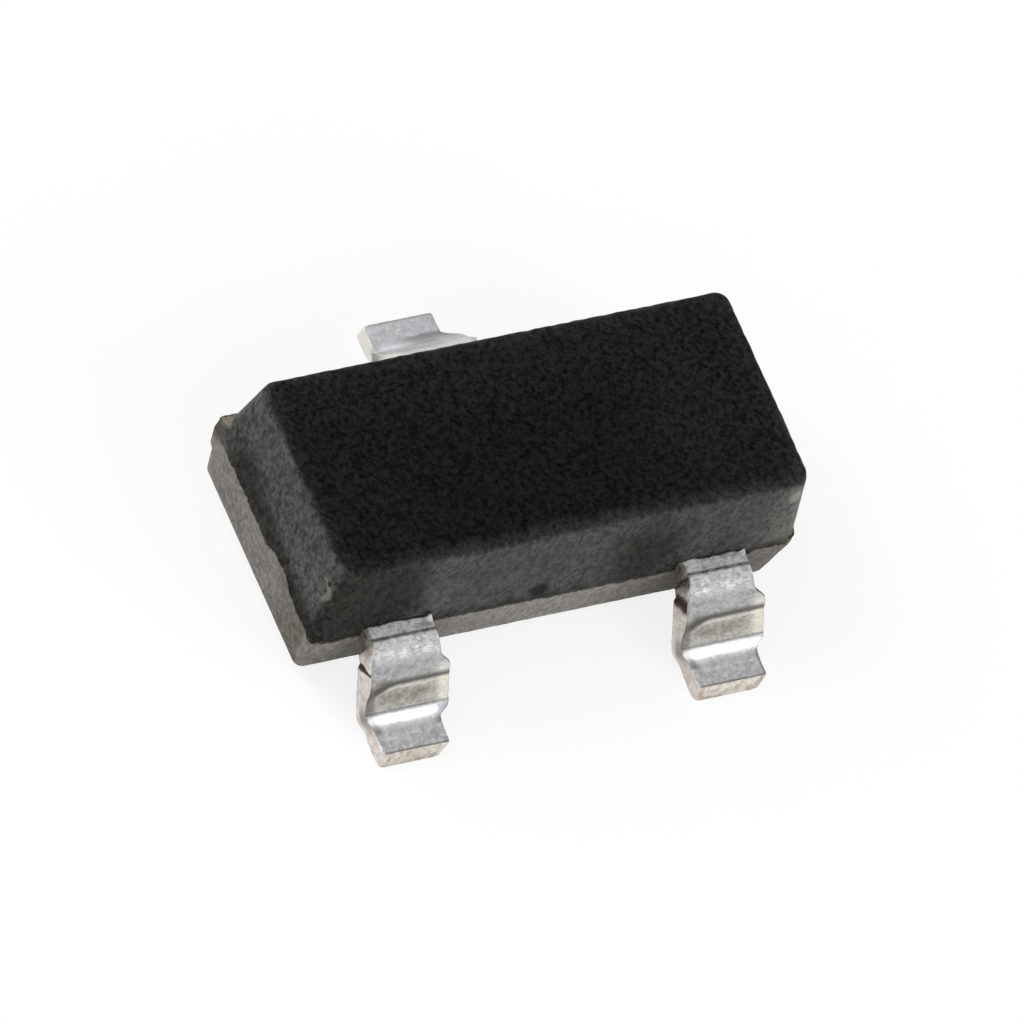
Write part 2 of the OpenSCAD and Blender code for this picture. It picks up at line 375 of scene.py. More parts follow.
def section_points():
    """The strip's section, and whether the sheared side starts at each point.

    A point is (side, share of the reach on that side, shift off it, height from the middle).
    """
    points, sheared = [], []
    t = LEAD_T / 2
    for quarter, (sx, sz) in enumerate(((1, 1), (-1, 1), (-1, -1), (1, -1))):
        r = TOP_ROUND if sz > 0 else BURR_ROUND
        for i in range(ROUND_STEPS + 1):
            a = math.pi / 2 * (quarter + i / ROUND_STEPS)
            points.append((sx, 1.0, r * math.cos(a) - sx * r, sz * (t - r) + r * math.sin(a)))
            sheared.append(sz > 0 and (i < ROUND_STEPS // 2 if sx > 0 else i >= ROUND_STEPS // 2))
        if sx == sz:
            for i in range(1, ACROSS_STEPS):
                share = 1 - 2 * i / ACROSS_STEPS
                points.append((sx if share > 0 else -sx, abs(share), -sx * share * r, sz * t))
                sheared.append(False)
        else:
            high, low = t - TOP_ROUND, -t + BURR_ROUND
            first, last = (high, low) if sx < 0 else (low, high)
            points += [(sx, 1.0, 0.0, first + (last - first) * i / SIDE_STEPS) for i in range(1, SIDE_STEPS)]
            sheared[-1] = True
            sheared += [True] * (SIDE_STEPS - 1)
    return points, sheared


# Marks of the forming tool along the strip: the collar's edge, the ridge and the end of the dent below it
S_COLLAR = 0.149
S_RIDGE = 0.369
S_RIDGE_END = 0.527
RIDGE_BEND_FROM = -0.06
RIDGE_BEND = 1.85
COLLAR_RISE = 0.0018
GROOVE_DEPTH = 0.0015
HORN_ACROSS = 0.185
HORN_RISE = 0.020
DENT_DEPTH = 0.0045


def ridge_place(across):
    """Where the forming tool's mark crosses the leg: it curves down towards the left edge."""
    return S_RIDGE + RIDGE_BEND * max(0.0, RIDGE_BEND_FROM - across) ** 2


def lead_relief(across, up, s, seed):
    """How far forming it left a lead's surface proud at a place, which shows on its upper side alone."""
    upper = smooth(0.3, 1.0, up / (LEAD_T / 2))
    collar = smooth(S_COLLAR + 0.003, S_COLLAR - 0.005, s)
    groove = hump(S_COLLAR + 0.006, 0.007, s)
    horn = hump(HORN_ACROSS, 0.022, across) * smooth(0.12, 0.08, s)
    beyond = s - ridge_place(across)
    dent = smooth(-0.010, 0.016, beyond) * smooth(S_RIDGE_END + 0.004, S_RIDGE_END - 0.010, s)
    calm = 1 - 0.75 * smooth(0.53, 0.55, s) * smooth(0.70, 0.66, s)
    rough = 0.0014 * grain(across, s, 0, 0.035, seed) + 0.0008 * grain(across, s, 0, 0.014, seed + 1)
    formed = COLLAR_RISE * collar - GROOVE_DEPTH * groove + HORN_RISE * horn - DENT_DEPTH * dent
    return upper * (formed + calm * rough)


# The tip leans out at its lower side, its left corner is rounded, and the cut edges are ragged
LOFT_RINGS = 230
TIP_LEAN = 0.018
TIP_ROUND = 0.030
RAGGED_EDGE = 0.0025


def tip_cut(to_tip, radius):
    """How much a corner of that radius takes off the side at that distance from the tip."""
    into = max(0.0, radius - to_tip)
    return radius - math.sqrt(radius ** 2 - into ** 2)


def lead_loft(centre_x, way, seed, left, right, corners):
    """Points, faces, face materials and marks of the formed part; way is FRONT or REAR.

    left and right say how far each edge reaches, and corners are the lower and upper radius of the tip's
    right corner.
    """
    points, slots = [], []
    marks = {"along": [], "across": [], "up": []}
    section, sheared = section_points()
    for i in range(LOFT_RINGS + 1):
        s = S_TIP * i / LOFT_RINGS
        to_tip = S_TIP - s
        (y, z), n = strip_place(s)
        reach_right = right_reach(s, **right)
        reach_left = [left_reach(s, level, **left) for level in (LOWER, UPPER)]
        for side, share, shift, up in section:
            high = 0.5 + up / LEAD_T
            reach = reach_right
            if side < 0:
                reach = reach_left[LOWER] + (reach_left[UPPER] - reach_left[LOWER]) * high
            round_r = TIP_ROUND if side < 0 else corners[0] + (corners[1] - corners[0]) * high
            across = side * share * (reach - tip_cut(to_tip, round_r)) + shift
            ragged = RAGGED_EDGE * grain(0, s, across * 0.2, 0.03, seed + 2) * side
            proud = up + lead_relief(across, up, s, seed)
            lean = TIP_LEAN * smooth(0.06, 0.0, to_tip) * (1 - high)
            x = centre_x + across + ragged
            points.append((x, way * (y + proud * n[0] + lean * n[1]), z + proud * n[1]))
            marks["along"].append(s)
            marks["across"].append(across)
            marks["up"].append(up)
    per = len(section)
    faces = ring_faces(LOFT_RINGS + 1, per)
    slots = [int(sheared[k]) for _ in range(LOFT_RINGS) for k in range(per)]
    faces.append(tuple(range(per - 1, -1, -1)))
    faces.append(tuple(LOFT_RINGS * per + k for k in range(per)))
    slots += [0, 1]
    if way == REAR:
        faces = [tuple(reversed(face)) for face in faces]
    return points, faces, slots, marks


def inner_plate(node, way):
    """The flat part of a lead's frame inside the plastic, cut from the CAD piece where the loft starts."""
    bm = bmesh.new()
    bm.from_mesh(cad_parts[node].data)
    cut = bmesh.ops.bisect_plane(
        bm, geom=bm.verts[:] + bm.edges[:] + bm.faces[:], dist=1e-8,
        plane_co=(0, way * CUT_Y * MM, 0), plane_no=(0, way, 0), clear_outer=True)
    rim = [e for e in cut["geom_cut"] if isinstance(e, bmesh.types.BMEdge)]
    bmesh.ops.holes_fill(bm, edges=rim)
    bm.verts.index_update()
    points = [tuple(v.co / MM) for v in bm.verts]
    faces = [tuple(v.index for v in f.verts) for f in bm.faces]
    bm.free()
    return points, faces


def make_lead(node, centre_x, way, seed, materials, left, right, corners):
    """A whole lead, formed outside the body and flat inside it, in the place of its CAD node."""
    points, faces, slots, marks = lead_loft(centre_x, way, seed, left, right, corners)
    more_points, more_faces = inner_plate(node, way)
    for values in marks.values():
        values += [0.0] * len(more_points)
    shift = len(points)
    lofted = len(faces)
    points += more_points
    faces += [tuple(i + shift for i in face) for face in more_faces]
    slots += [0] * len(more_faces)
    lead = mesh_object(node + "_formed", points, faces, materials, slots, marks)
    for polygon in lead.data.polygons[lofted:]:
        polygon.use_smooth = False
    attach(lead, "root")
    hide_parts(node)


# Materials

class Graph:
    """A short way to write a material's nodes; places and sizes are in millimetres."""

    def __init__(self, name):
        self.material = bpy.data.materials.new(name)
        self.material.use_nodes = True
        self.tree = self.material.node_tree
        self.shader = self.tree.nodes["Principled BSDF"]
        where = self.tree.nodes.new("ShaderNodeTexCoord").outputs["Object"]
        scale = self.tree.nodes.new("ShaderNodeVectorMath")
        scale.operation = "SCALE"
        scale.inputs["Scale"].default_value = 1 / MM
        self.tree.links.new(where, scale.inputs[0])
        self.place = scale.outputs[0]
        split = self.tree.nodes.new("ShaderNodeSeparateXYZ")
        self.tree.links.new(self.place, split.inputs[0])
        self.x, self.y, self.z = split.outputs

    def mark(self, name):
        """A number that the mesh carries at each point."""
        node = self.tree.nodes.new("ShaderNodeAttribute")
        node.attribute_name = name
        return node.outputs["Fac"]

    def put(self, value, socket):
        if isinstance(value, bpy.types.NodeSocket):
            self.tree.links.new(value, socket)
        elif isinstance(value, tuple):
            socket.default_value = (*value, 1)
        else:
            socket.default_value = value

    def math(self, operation, a, b=0.0):
        node = self.tree.nodes.new("ShaderNodeMath")
        node.operation = operation
        self.put(a, node.inputs[0])
        self.put(b, node.inputs[1])
        return node.outputs[0]

    def plus(self, a, b):
        return self.math("ADD", a, b)

    def minus(self, a, b):
        return self.math("SUBTRACT", a, b)

    def times(self, a, b):
        return self.math("MULTIPLY", a, b)

    def smooth(self, low, high, value):
        """0 on the side of low and 1 on the side of high."""
        node = self.tree.nodes.new("ShaderNodeMapRange")
        node.interpolation_type = "SMOOTHSTEP"
        self.put(value, node.inputs["Value"])
        ends = (low, high, 0.0, 1.0) if low < high else (high, low, 1.0, 0.0)
        for name, end in zip(("From Min", "From Max", "To Min", "To Max"), ends):
            node.inputs[name].default_value = end
        return node.outputs["Result"]

    def band(self, centre, half, value):
        """1 at centre, falling softly to 0 at half off it."""
        return self.smooth(half, 0.0, self.math("ABSOLUTE", self.minus(value, centre)))

    def spot(self, centre, radius, core=0.4):
        """1 in the core of a ball round a place, falling softly to 0 at its radius."""
        node = self.tree.nodes.new("ShaderNodeVectorMath")
        node.operation = "DISTANCE"
        self.put(self.place, node.inputs[0])
        node.inputs[1].default_value = centre
        return self.smooth(radius, core * radius, node.outputs["Value"])

    def most(self, *factors):
        """The largest of several factors."""
        result = factors[0]
        for factor in factors[1:]:
            result = self.math("MAXIMUM", result, factor)
        return result

    def stretched(self, factors):
        """The place with each coordinate multiplied by its factor."""
        node = self.tree.nodes.new("ShaderNodeVectorMath")
        node.operation = "MULTIPLY"
        self.put(self.place, node.inputs[0])
        node.inputs[1].default_value = factors
        return node.outputs[0]

    def noise(self, size, detail=2.0, roughness=0.5, seed=0.0, place=None):
        node = self.tree.nodes.new("ShaderNodeTexNoise")
        node.noise_dimensions = "4D"
        self.put(place or self.place, node.inputs["Vector"])
        node.inputs["W"].default_value = seed
        node.inputs["Scale"].default_value = 1 / size
        node.inputs["Detail"].default_value = detail
        node.inputs["Roughness"].default_value = roughness
        return node.outputs["Fac"]

    def mix(self, factor, a, b):
        """A colour between a and b."""
        node = self.tree.nodes.new("ShaderNodeMix")
        node.data_type = "RGBA"
        self.put(factor, node.inputs["Factor"])
        self.put(a, node.inputs[6])
        self.put(b, node.inputs[7])
        return node.outputs[2]

    def lerp(self, factor, a, b):
        """A number between a and b."""
        node = self.tree.nodes.new("ShaderNodeMix")
        self.put(factor, node.inputs["Factor"])
        self.put(a, node.inputs[2])
        self.put(b, node.inputs[3])
        return node.outputs[0]

    def bump(self, height, depth, strength=1.0):
        node = self.tree.nodes.new("ShaderNodeBump")
        node.inputs["Strength"].default_value = strength
        node.inputs["Distance"].default_value = depth * MM
        self.put(height, node.inputs["Height"])
        self.put(node.outputs["Normal"], self.shader.inputs["Normal"])

    def finish(self, colour, roughness, metallic=0.0):
        self.put(colour, self.shader.inputs["Base Color"])
        self.put(roughness, self.shader.inputs["Roughness"])
        self.put(metallic, self.shader.inputs["Metallic"])
        return self.material


# Colours of the moulding; a pair is for its dark and its pale grains
WALL_DARK = ((0.006, 0.006, 0.005), (0.086, 0.085, 0.076))
WALL_PALE = ((0.013, 0.013, 0.011), (0.105, 0.104, 0.094))
WALL_BRIGHT = ((0.050, 0.049, 0.043), (0.185, 0.181, 0.165))
# A darker wall colour for the darker places; along the front-left upright edge it is painted shade
WALL_DARKENED = ((0.004, 0.0035, 0.0025), (0.035, 0.033, 0.027))
PIT = (0.010, 0.010, 0.008)
PATCH = (0.004, 0.004, 0.003)
LOWER_SHADED = ((0.080, 0.073, 0.059), (0.202, 0.191, 0.166))
LOWER_LIT = ((0.180, 0.171, 0.151), (0.345, 0.334, 0.307))
LOWER_MOTTLE = (0.120, 0.110, 0.090)
TOP_MIDDLE = ((0.0001, 0.0001, 0.0004), (0.0150, 0.0150, 0.0156))
TOP_OUTER = ((0.0012, 0.0012, 0.0018), (0.0232, 0.0232, 0.0240))
TOP_MARGIN = (0.052, 0.051, 0.046)
GATE_UMBER = ((0.032, 0.024, 0.019), (0.100, 0.076, 0.066))
GATE_BREAK = (0.40, 0.36, 0.27)
FLASH_OLIVE = ((0.008, 0.007, 0.003), (0.150, 0.142, 0.092))
PALE_RIM = (0.33, 0.30, 0.27)
CRESCENT = (0.205, 0.200, 0.168)
PORE = (0.0010, 0.0010, 0.0006)


class MouldingGraph(Graph):
    """The body's graph, with the grains and the places that its colours share."""

    def __init__(self):
        super().__init__("black_epoxy")
        self.above = self.mark("above")
        tall = self.stretched((1, 1, 0.75))
        small = self.noise(0.023, 2.0, 0.6, 1.0, tall)
        blend = self.lerp(0.25, small, self.noise(0.045, 1.0, 0.5, 8.0, tall))
        self.left = self.smooth(-HALF_L + 0.085, -HALF_L + 0.055, self.x)
        self.front = self.smooth(-HALF_W + 0.085, -HALF_W + 0.060, self.y)
        self.fine = self.smooth(0.27, 0.73, small)
        self.grit = self.lerp(self.left, self.smooth(0.30, 0.70, blend), self.smooth(0.36, 0.64, blend))
        self.pits = self.smooth(0.37, 0.30, self.noise(0.030, 1.0, 0.5, 5.0, tall))
        self.mottle = self.noise(0.11, 3.0, 0.55, 2.0)
        self.uneven = self.minus(self.mottle, 0.5)
        self.over_seam = self.minus(self.above, self.seam())

    def seam(self):
        """Height where the walls turn from pale to dark: ragged, and lower along most of the front."""
        in_front = self.lerp(self.smooth(1.10, 1.22, self.x), -0.034, 0.014)
        ragged = self.times(self.minus(self.fine, 0.5), self.lerp(self.front, 0.006, 0.014))
        return self.plus(self.lerp(self.front, 0.0, in_front), ragged)

    def wavy(self, height, depth):
        """A height made uneven, so that a step at it wanders up and down by about half of depth."""
        return self.plus(height, self.times(self.uneven, depth))


def end_band(g):
    """A dark band along the left end above the parting line, lower towards the front."""
    band_top = g.lerp(g.smooth(-0.45, 0.35, g.y), 0.125, 0.235)
    band = g.smooth(0.06, -0.09, g.wavy(g.minus(g.above, band_top), 0.12))
    return g.times(g.times(g.left, band), g.smooth(0.61, 0.40, g.y))


def front_darkening(g, patch):
    """Where the front is painted darker: its left part, its middle, a strip along the parting line and a
    patch.
    """
    at_left = g.times(g.smooth(-0.75, -1.00, g.x), g.smooth(-1.475, -1.43, g.x))
    middle = g.times(g.band(0.48, 0.40, g.x), g.smooth(0.56, 0.26, g.above))
    middle = g.most(middle, g.times(g.band(0.98, 0.30, g.x), 0.22))
    low = g.smooth(0.10, 0.01, g.wavy(g.over_seam, 0.16))
    return g.times(g.front, g.most(at_left, middle, g.times(low, 0.95), patch))


def dark_edge(g):
    """The upright edge between the front and the left end, where the walls are painted darker as painted
    shade.
    """
    edge = g.times(g.smooth(-0.560, -0.600, g.y), g.smooth(-1.28, -1.33, g.x))
    return g.times(edge, g.smooth(0.10, 0.22, g.above))


def wall_colour(g, dull_and_painted_light, patch):
    """The upper walls: grainy grey with dark pits, brightest at the right end of the front."""
    stain = g.smooth(0.42, 0.62, g.noise(0.45, 2.0, 0.5, 6.0))
    wall = g.mix(stain, g.mix(g.grit, *WALL_DARK), g.mix(g.grit, *WALL_PALE))
    right_end = g.times(g.front, g.smooth(1.15, 1.38, g.x))
    wall = g.mix(g.times(right_end, 0.85), wall, g.mix(g.grit, *WALL_BRIGHT))
    wall = g.mix(g.times(g.pits, 0.7), wall, PIT)
    # The darker places take a darker colour; along the front-left upright edge this is painted shade
    dark = g.mix(g.times(patch, 0.8), g.mix(g.grit, *WALL_DARKENED), PATCH)
    return g.mix(dull_and_painted_light, wall, dark)


def lower_colour(g):
    """The walls below the parting line, palest in the left half of the front."""
    lit_left = g.times(g.smooth(-0.56, -0.10, g.y), 0.60)
    lit_front = g.lerp(g.smooth(0.52, 0.22, g.x), 0.33, g.lerp(g.band(-0.05, 0.80, g.x), 0.72, 1.0))
    lit = g.lerp(g.front, lit_left, lit_front)
    lower = g.mix(lit, g.mix(g.fine, *LOWER_SHADED), g.mix(g.fine, *LOWER_LIT))
    return g.mix(g.times(g.smooth(0.45, 0.30, g.mottle), 0.35), lower, LOWER_MOTTLE)


def top_colour(g):
    """The top face: nearly black, a little paler towards its ends, its rear and its front edge."""
    to_end = g.most(g.smooth(0.35, 0.95, g.x), g.times(g.smooth(-0.5, -1.2, g.x), 0.4))
    outer = g.most(to_end, g.smooth(0.05, 0.48, g.y))
    top = g.mix(outer, g.mix(g.fine, *TOP_MIDDLE), g.mix(g.fine, *TOP_OUTER))
    margin = g.smooth(UPPER_H + 0.085, UPPER_H, g.wavy(g.above, 0.10))
    in_front = g.lerp(g.smooth(-1.2, -0.7, g.x), 0.3, 0.8)
    margin = g.times(margin, g.lerp(g.smooth(-0.42, -0.50, g.y), 0.30, in_front))
    return g.mix(g.times(margin, g.lerp(g.fine, 0.2, 1.0)), top, TOP_MARGIN)


def broken_colour(g, colour):
    """Bare resin on the stub of the gate, and on the flash at the front right corner."""
    gate = g.spot((-HALF_L + 0.02, HALF_W - 0.03, PARTING + 0.045), 0.115)
    colour = g.mix(g.times(gate, 0.8), colour, g.mix(g.fine, *GATE_UMBER))
    broken = g.spot((-HALF_L + 0.05, HALF_W - 0.04, PARTING + 0.115), 0.07)
    broken = g.times(broken, g.smooth(0.098, 0.114, g.above))
    colour = g.mix(g.times(broken, g.lerp(g.fine, 0.3, 0.8)), colour, GATE_BREAK)
    flash = g.spot((HALF_L - 0.062, -HALF_W + 0.014, PARTING + 0.055), 0.062)
    olive = g.mix(g.smooth(0.35, 0.65, g.fine), *FLASH_OLIVE)
    return g.mix(g.times(flash, 0.85), colour, olive)


def chipped_colour(g, colour):
    """A pale rim under the right corner of the top, and a crescent and a pore near its left corner."""
    rim = g.spot((1.339, -0.637, 0.838), 0.066)
    colour = g.mix(g.times(rim, g.lerp(g.fine, 0.55, 0.85)), colour, PALE_RIM)
    crescent = g.spot((-1.432, -0.530, 0.722), 0.077, 0.70)
    hollow = g.spot((-1.432, -0.504, 0.711), 0.070, 0.66)
    crescent = g.times(g.times(crescent, g.minus(1.0, hollow)), g.lerp(g.fine, 0.40, 1.10))
    colour = g.mix(crescent, colour, CRESCENT)
    return g.mix(g.spot((-1.407, -0.541, 0.780), 0.029, 0.40), colour, PORE)


def moulding_material():
    """Black filled epoxy: grainy walls, paler below the parting line, and a smoother, darker top."""
    g = MouldingGraph()
    patch = g.spot((-0.115, -HALF_W + 0.008, PARTING + 0.060), 0.085)
    # Darker, rougher places of the walls; along the front-left upright edge the darkening is painted shade
    dull_and_painted_light = g.most(end_band(g), g.times(dark_edge(g), 0.85), front_darkening(g, patch))
    face = g.smooth(UPPER_H - 0.016, UPPER_H + 0.003, g.wavy(g.above, 0.030))
    colour = wall_colour(g, dull_and_painted_light, patch)
    colour = g.mix(g.smooth(0.008, -0.006, g.over_seam), colour, lower_colour(g))
    colour = g.mix(face, colour, top_colour(g))
    colour = chipped_colour(g, broken_colour(g, colour))
    roughness = g.lerp(dull_and_painted_light, g.lerp(g.fine, 0.42, 0.58), 0.75)
    g.put(g.lerp(face, 0.2, 0.08), g.shader.inputs["Specular IOR Level"])
    g.bump(g.minus(g.fine, g.times(g.pits, 0.7)), 0.004, 0.35)
    return g.finish(colour, g.lerp(face, roughness, 0.62))


# Colours of the tin plate; a pair is for its dark and its pale grains
# Painted shade: the steep leg is painted darker than the flats
LEG_SHADED_TIN = ((0.27, 0.27, 0.27), (0.45, 0.45, 0.45))
# Pale flecks on the collar, and on the shoulder a painted highlight broken into flecks
FLECK_AND_HIGHLIGHT = (0.82, 0.82, 0.835)
# Painted glints on the shoulder
GLINT = (0.99, 0.98, 1.0)
# Painted reflection on the leg, and painted highlights along the dent's lip and the leg's right edge
LEG_REFLECTION_TIN = ((0.29, 0.275, 0.245), (0.49, 0.475, 0.435))
LEG_REFLECTION_CORE = ((0.17, 0.145, 0.10), (0.31, 0.28, 0.22))
LIP_HIGHLIGHT = (0.68, 0.655, 0.60)
RIM_HIGHLIGHT = (0.80, 0.78, 0.68)
# Painted shade lines along the ridge, at the end of the dent and in the groove
RIDGE_SHADE = (0.085, 0.080, 0.068)
DENT_SHADE = (0.15, 0.15, 0.145)
GROOVE_SHADE = (0.10, 0.10, 0.105)
# Painted shade on the heel: at its left end, lilac over its highlight's right end, and on the rear lead
HEEL_END_SHADE = (0.26, 0.26, 0.26)
HEEL_LILAC_SHADE = (0.22, 0.217, 0.243)
HEEL_SHADE = (0.42, 0.42, 0.43)
# Painted glints on the foot
FOOT_GLINT = (1.0, 1.0, 1.0)
# Painted shade on the foot's left edge
FOOT_EDGE_SHADE = (0.50, 0.50, 0.48)
FOOT_RIGHT_LINE = (0.10, 0.10, 0.105)
LEG_EDGE = (0.17, 0.15, 0.135)
TIP_LINE = (0.20, 0.16, 0.13)
NECK_EDGE = (0.13, 0.12, 0.105)
# Resin beside the body, with painted shade under the lead next to it
RESIN_AND_SHADE = (0.030, 0.030, 0.026)


class TinGraph(Graph):
    """A lead's graph, with its marks, its grains and the places that its colours share.

    Its front share sets how much of the front leads' painted light and reflection a lead gets, and its rear
    share, the rest, how much of the rear lead's painted light.
    """

    def __init__(self, name, wear):
        super().__init__(name)
        self.wear, self.rear_share = wear, 1 - wear
        self.s, self.across, self.up = self.mark("along"), self.mark("across"), self.mark("up")
        self.fine = self.smooth(0.32, 0.68, self.noise(0.026, 2.0, 0.6, 1.0))
        self.patches = self.noise(0.09, 3.0, 0.6, 3.0)
        self.flecks = self.smooth(0.41, 0.59, self.noise(0.036, 2.0, 0.6, 2.0))
        # Painted glints: white specks on the shoulder and the foot
        glints = self.smooth(0.52, 0.61, self.noise(0.038, 1.5, 0.55, 9.0))
        shoulder = self.times(self.smooth(0.157, 0.164, self.s), self.smooth(0.265, 0.185, self.s))
        # Flecks on the collar, and on the shoulder a painted highlight broken into flecks
        self.flecks_and_highlight = self.times(self.most(shoulder, self.smooth(0.150, 0.142, self.s)), self.flecks)
        self.shoulder_glints = self.times(shoulder, glints)
        foot = self.times(self.band(0.755, 0.040, self.s), self.smooth(0.04, -0.04, self.across))
        self.foot_glints = self.times(foot, glints)
        ragged = self.plus(self.s, self.times(self.minus(self.patches, 0.5), 0.06))
        self.heel = self.times(self.smooth(0.53, 0.56, self.s), self.smooth(0.70, 0.66, ragged))
        bend = self.most(self.minus(RIDGE_BEND_FROM, self.across), 0.0)
        self.beyond = self.minus(self.s, self.plus(self.times(self.times(bend, bend), RIDGE_BEND), S_RIDGE))

    def tint(self, base, factor, strength, colour):
        """The base with a colour laid over it, as strong as the strength where the factor is 1."""
        return self.mix(self.times(factor, strength), base, colour)


def stretched_colour(g, base):
    """The leg painted darker grey, which is painted shade, and where the plating was stretched round the
    shoulder, flecks that carry a painted highlight, and painted glints.
    """
    leg = g.times(g.smooth(0.17, 0.25, g.s), g.smooth(0.57, 0.52, g.s))
    # Painted shade: the leg painted darker grey
    base = g.tint(base, leg, 0.2 + 0.8 * g.wear, g.mix(g.fine, *LEG_SHADED_TIN))
    base = g.mix(g.flecks_and_highlight, base, FLECK_AND_HIGHLIGHT)
    return g.tint(base, g.shoulder_glints, 0.8, GLINT)


def leg_reflection_colour(g, base):
    """The dent across the leg, painted with the leg's reflection: beige, darker brown in its middle, with a
    painted highlight along its lip and its right edge.
    """
    # Painted reflection on the leg between the ridge and the end of the dent, strongest on the front leads
    worn = g.times(g.smooth(0.0, 0.026, g.beyond), g.smooth(S_RIDGE_END, S_RIDGE_END - 0.014, g.s))
    worn = g.times(g.times(worn, g.smooth(-0.24, -0.12, g.across)), g.wear)
    core = g.times(g.smooth(0.15, 0.08, g.across), g.smooth(-0.26, -0.14, g.across))
    core = g.times(g.times(core, g.band(0.448, 0.050, g.s)), worn)
    lip = g.times(g.band(0.028, 0.014, g.beyond), worn)
    rim = g.times(g.smooth(0.27, 0.34, g.s), g.smooth(0.55, 0.50, g.s))
    base = g.mix(worn, base, g.mix(g.fine, *LEG_REFLECTION_TIN))
    base = g.tint(base, core, 0.75, g.mix(g.fine, *LEG_REFLECTION_CORE))
    base = g.tint(base, lip, 0.55, LIP_HIGHLIGHT)
    return g.tint(base, g.times(g.smooth(0.14, 0.20, g.across), rim), 0.7 * g.wear, RIM_HIGHLIGHT)


def shade_lines(g, base):
    """Painted shade lines across the lead: along the ridge, thicker at the left, at the end of the dent, and
    in the groove.
    """
    nearer = g.times(g.beyond, g.lerp(g.smooth(-0.08, -0.17, g.across), 1.0, 0.50))
    ridge = g.times(g.smooth(-0.034, -0.002, nearer), g.smooth(0.022, 0.002, nearer))
    ridge = g.times(ridge, g.lerp(g.smooth(-0.05, -0.14, g.across), 0.85 * g.wear, 0.95 * g.wear))
    groove = g.times(g.band(S_COLLAR + 0.006, 0.016, g.s), g.lerp(g.flecks, 0.92, 0.70))
    base = g.mix(ridge, base, RIDGE_SHADE)
    base = g.tint(base, g.band(S_RIDGE_END, 0.013, g.s), 0.55 * g.wear, DENT_SHADE)
    return g.mix(groove, base, GROOVE_SHADE)


def heel_colour(g, base):
    """The burnished heel: with the front leads' share, painted shade at its left end and a painted lilac
    shade over its highlight at its right; with the rear lead's share, painted shade.
    """
    slanting = g.plus(g.across, g.times(g.minus(0.60, g.s), 0.35))
    left_end = g.times(g.heel, g.smooth(-0.175, -0.215, slanting))
    lilac = g.times(g.times(g.heel, g.smooth(0.125, 0.195, g.across)), g.smooth(0.25, 0.50, g.patches))
    lilac = g.times(lilac, g.lerp(g.smooth(-0.1, 0.1, g.x), 1.0, 0.3))
    shade = g.times(g.heel, g.smooth(-0.12, 0.05, g.across))
    base = g.tint(base, left_end, 0.75 * g.wear, HEEL_END_SHADE)
    base = g.tint(base, lilac, g.wear, HEEL_LILAC_SHADE)
    return g.tint(base, shade, 1.2 * g.rear_share, HEEL_SHADE)


def foot_colour(g, base):
    """The foot: painted glints and painted shade on its left edge with the rear lead's share, a dark line at
    its right with the front leads' share.
    """
    edge = g.times(g.smooth(-0.205, -0.218, g.across), g.smooth(0.55, 0.60, g.s))
    # A dark line along the foot's right edge
    dark_right_line = g.times(g.smooth(0.172, 0.186, g.across), g.smooth(0.62, 0.64, g.s))
    base = g.tint(base, g.foot_glints, 1.2 * g.rear_share, FOOT_GLINT)
    base = g.tint(base, edge, 0.8 * g.rear_share, FOOT_EDGE_SHADE)
    return g.tint(base, dark_right_line, 0.55 * g.wear, FOOT_RIGHT_LINE)


def edge_colour(g, base):
    """The dark left edges of leg and neck, the line at the tip, and resin left beside the body; under the
    lead next to the body the same dark colour is painted shade.
    """
    leg_edge = g.times(g.smooth(0.38, 0.42, g.s), g.smooth(0.56, 0.52, g.s))
    leg_edge = g.times(leg_edge, g.smooth(-0.190, -0.225, g.across))
    neck_edge = g.times(g.smooth(-0.188, -0.206, g.across), g.smooth(0.205, 0.170, g.s))
    resin = g.smooth(0.010, -0.004, g.minus(g.s, g.lerp(g.patches, 0.052, 0.108)))
    # Painted shade under the lead next to the body
    resin = g.most(resin, g.times(g.smooth(-0.030, -0.045, g.up), g.smooth(0.20, 0.17, g.s)))
    base = g.tint(base, leg_edge, 0.75 * g.wear, LEG_EDGE)
    base = g.tint(base, g.band(S_TIP - 0.004, 0.012, g.s), 0.25 + 0.50 * g.wear, TIP_LINE)
    base = g.tint(base, neck_edge, 0.75, NECK_EDGE)
    return g.mix(resin, base, RESIN_AND_SHADE)


def tin_material(name, dim, bright, wear, metallic):
    """Matt tin plate, burnished in the heel, with painted light: a painted highlight in flecks where the
    shoulder was stretched, painted reflection and shade on the leg, painted glints and painted shade lines.
    """
    g = TinGraph(name, wear)
    base = g.mix(g.fine, dim, bright)
    for layer in (stretched_colour, leg_reflection_colour, shade_lines, heel_colour, foot_colour, edge_colour):
        base = layer(g, base)
    roughness = g.lerp(g.heel, g.lerp(g.fine, 0.38, 0.55), 0.36 - 0.06 * wear)
    g.bump(g.lerp(g.heel, g.plus(g.fine, g.times(g.flecks, 0.6)), 0.5), 0.003, 0.45)
    # Metal drops on the collar's flecks and where the painted highlight and painted glints are, so that
    # their pale paint shows
    dull_and_painted_light = g.most(g.flecks_and_highlight, g.shoulder_glints, g.times(g.foot_glints, 1.2 * g.rear_share))
    return g.finish(base, roughness, g.lerp(dull_and_painted_light, metallic, 0.08))


# Colours of the sheared copper; a pair is for its clean and its tin-smeared places, or for its grains
BARE_SIDE = ((0.68, 0.575, 0.51), (0.86, 0.825, 0.775))
SIDE_GRAIN = (0.50, 0.46, 0.40)
# Painted light: the rear lead's sides are painted paler
REAR_SIDE_LIT = (0.88, 0.88, 0.80)
BARE_TIP = ((0.49, 0.39, 0.31), (0.76, 0.73, 0.67))
